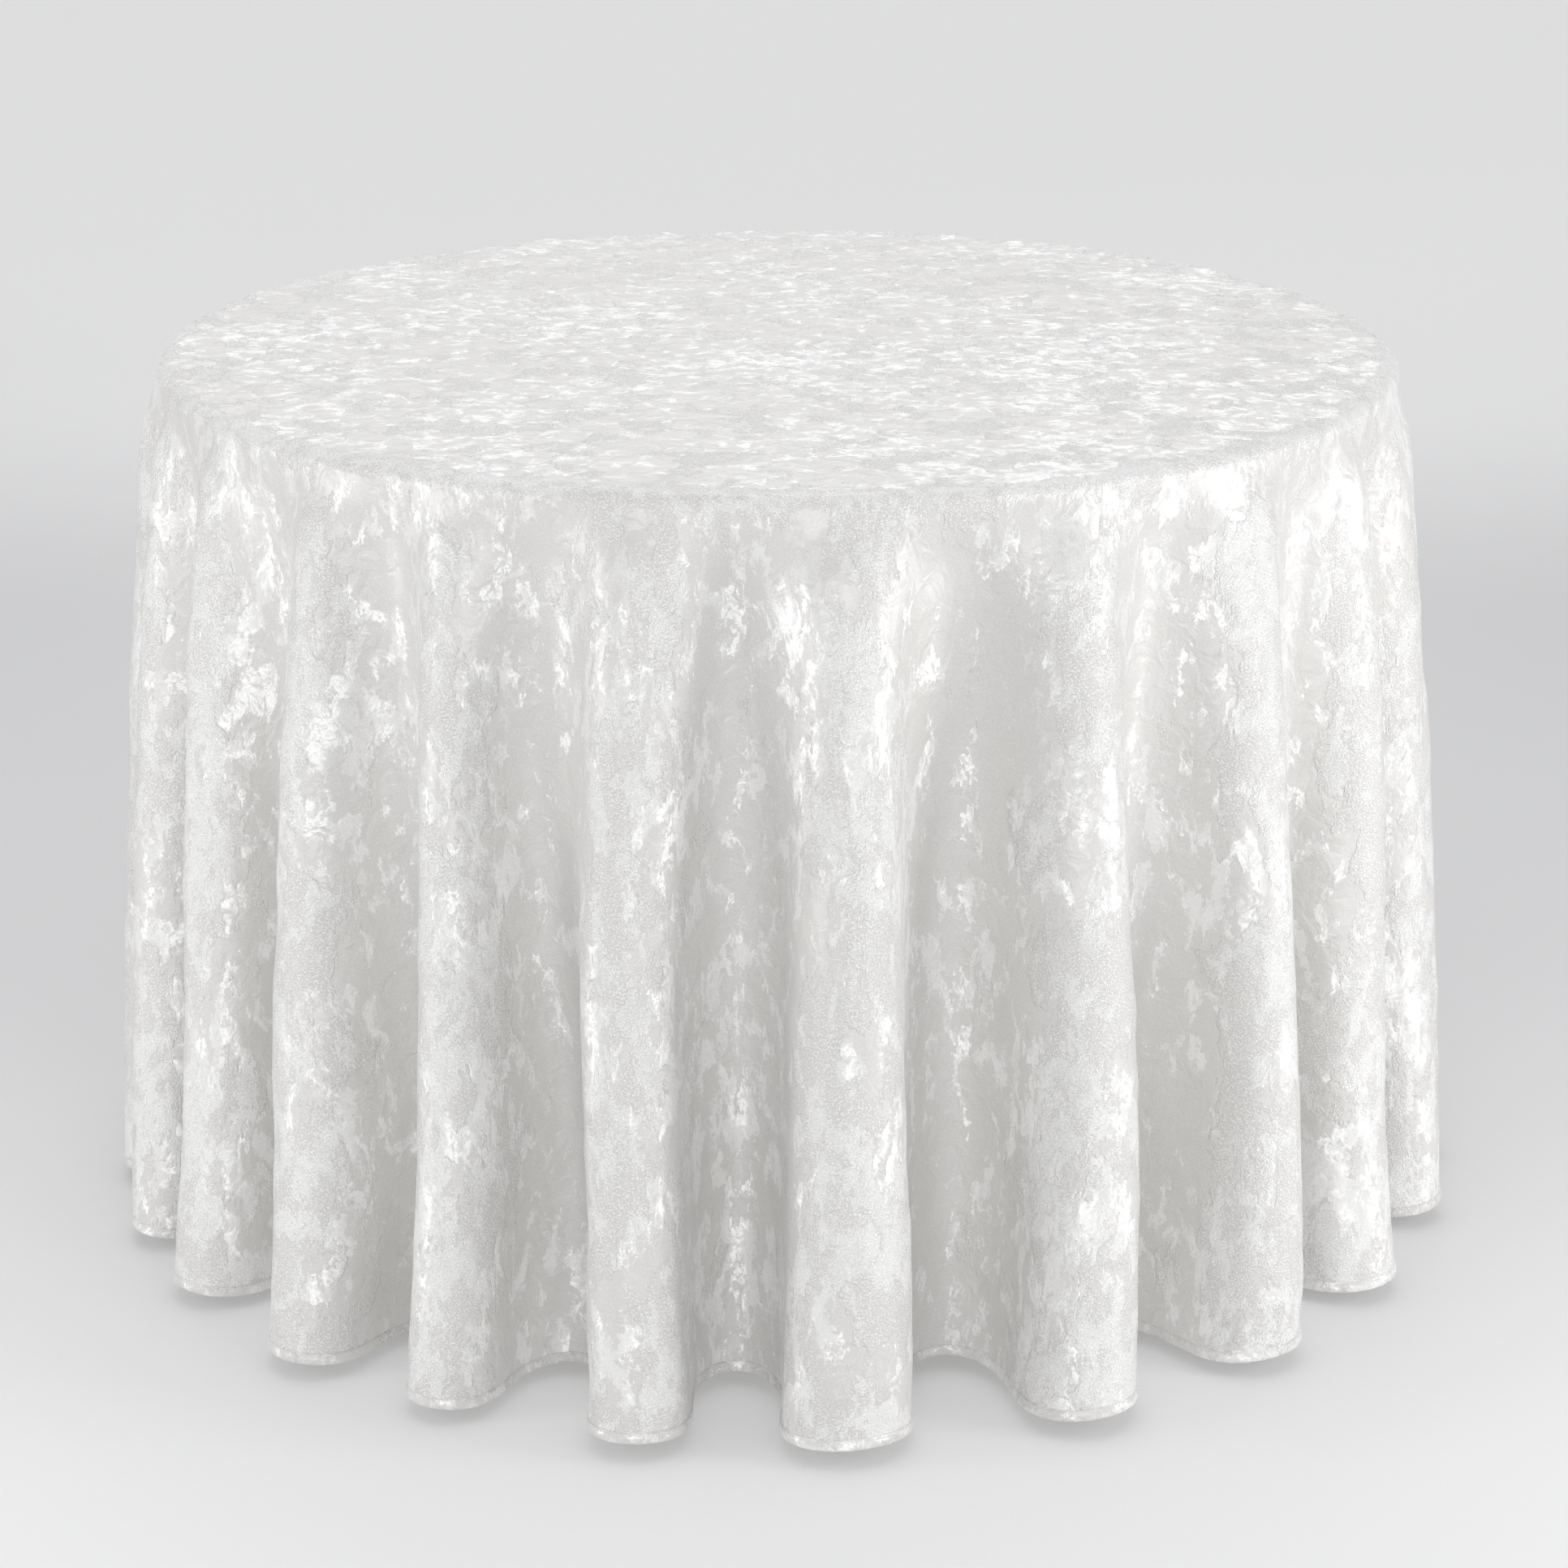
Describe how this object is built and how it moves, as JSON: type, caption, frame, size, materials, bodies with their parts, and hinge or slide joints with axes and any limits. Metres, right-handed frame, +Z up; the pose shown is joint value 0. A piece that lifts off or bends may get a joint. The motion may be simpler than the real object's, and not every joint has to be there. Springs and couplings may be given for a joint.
{
  "type": "tablecloth on table",
  "caption": "Round folding table under a floor-length round velvet tablecloth hanging in deep even folds.",
  "frame": {"origin": "on the floor under the centre of the cloth's box, which is the table's axis", "axes": "+Z up along the table's axis, -Y towards the seen front, +X to the seen right"},
  "size_m": [1.2202, 1.22, 0.765],
  "materials": {
    "velvet": "crushed velvet pile",
    "plywood": "satin lacquer",
    "vinyl_edge": "soft vinyl bullnose",
    "hardwood": "sanded, clear coat",
    "bracket_steel": "zinc plated plate",
    "zinc_steel": "zinc plated",
    "powder_coat": "black powder coat",
    "rubber": "moulded"
  },
  "bodies": {
    "table": {"cross_rail_left": "hardwood", "cross_rail_right": "hardwood", "edge_band": "vinyl_edge", "hinge_spacer_back": "hardwood", "hinge_spacer_front": "hardwood", "left_hinge_back": "bracket_steel", "left_hinge_front": "bracket_steel", "left_lever_pin": "zinc_steel", "left_screw_back_1": "zinc_steel", "left_screw_back_2": "zinc_steel", "left_screw_front_1": "zinc_steel", "left_screw_front_2": "zinc_steel", "right_hinge_back": "bracket_steel", "right_hinge_front": "bracket_steel", "right_lever_pin": "zinc_steel", "right_screw_back_1": "zinc_steel", "right_screw_back_2": "zinc_steel", "right_screw_front_1": "zinc_steel", "right_screw_front_2": "zinc_steel", "runner_back": "hardwood", "runner_front": "hardwood", "runner_screw_back_1": "zinc_steel", "runner_screw_back_2": "zinc_steel", "runner_screw_back_3": "zinc_steel", "runner_screw_front_1": "zinc_steel", "runner_screw_front_2": "zinc_steel", "runner_screw_front_3": "zinc_steel", "table_top": "plywood"},
    "left_leg_frame": {"left_foot_back": "rubber", "left_foot_front": "rubber", "left_leg_back": "powder_coat", "left_leg_front": "powder_coat", "left_lock_collar": "zinc_steel", "left_pivot_bar": "powder_coat", "left_stretcher": "powder_coat"},
    "right_leg_frame": {"right_foot_back": "rubber", "right_foot_front": "rubber", "right_leg_back": "powder_coat", "right_leg_front": "powder_coat", "right_lock_collar": "zinc_steel", "right_pivot_bar": "powder_coat", "right_stretcher": "powder_coat"},
    "left_lock_lever": {"left_lock_lever": "bracket_steel"},
    "right_lock_lever": {"right_lock_lever": "bracket_steel"},
    "cloth": {"hem_band": "velvet", "tablecloth": "velvet"}
  },
  "joints": [
    {"name": "left_leg_fold", "type": "hinge", "parent": "table", "child": "left_leg_frame", "pos_m": [-0.3, 0, 0.6984], "axis": [0, -1, 0], "range_deg": [0, 94]},
    {"name": "right_leg_fold", "type": "hinge", "parent": "table", "child": "right_leg_frame", "pos_m": [0.3, 0, 0.6621], "axis": [0, 1, 0], "range_deg": [0, 94]},
    {"name": "left_lock_release", "type": "hinge", "parent": "table", "child": "left_lock_lever", "pos_m": [-0.33, -0.125, 0.7084], "axis": [0, 1, 0], "range_deg": [0, 20], "stiffness_Nm_per_rad": 0.05, "springref_deg": -11.46},
    {"name": "right_lock_release", "type": "hinge", "parent": "table", "child": "right_lock_lever", "pos_m": [0.33, -0.125, 0.6721], "axis": [0, -1, 0], "range_deg": [0, 20], "stiffness_Nm_per_rad": 0.05, "springref_deg": -11.46},
    {"name": "cloth_lift", "type": "slide", "parent": "table", "child": "cloth", "axis": [0, 0, 1], "range_m": [0, 0.85]}
  ]
}
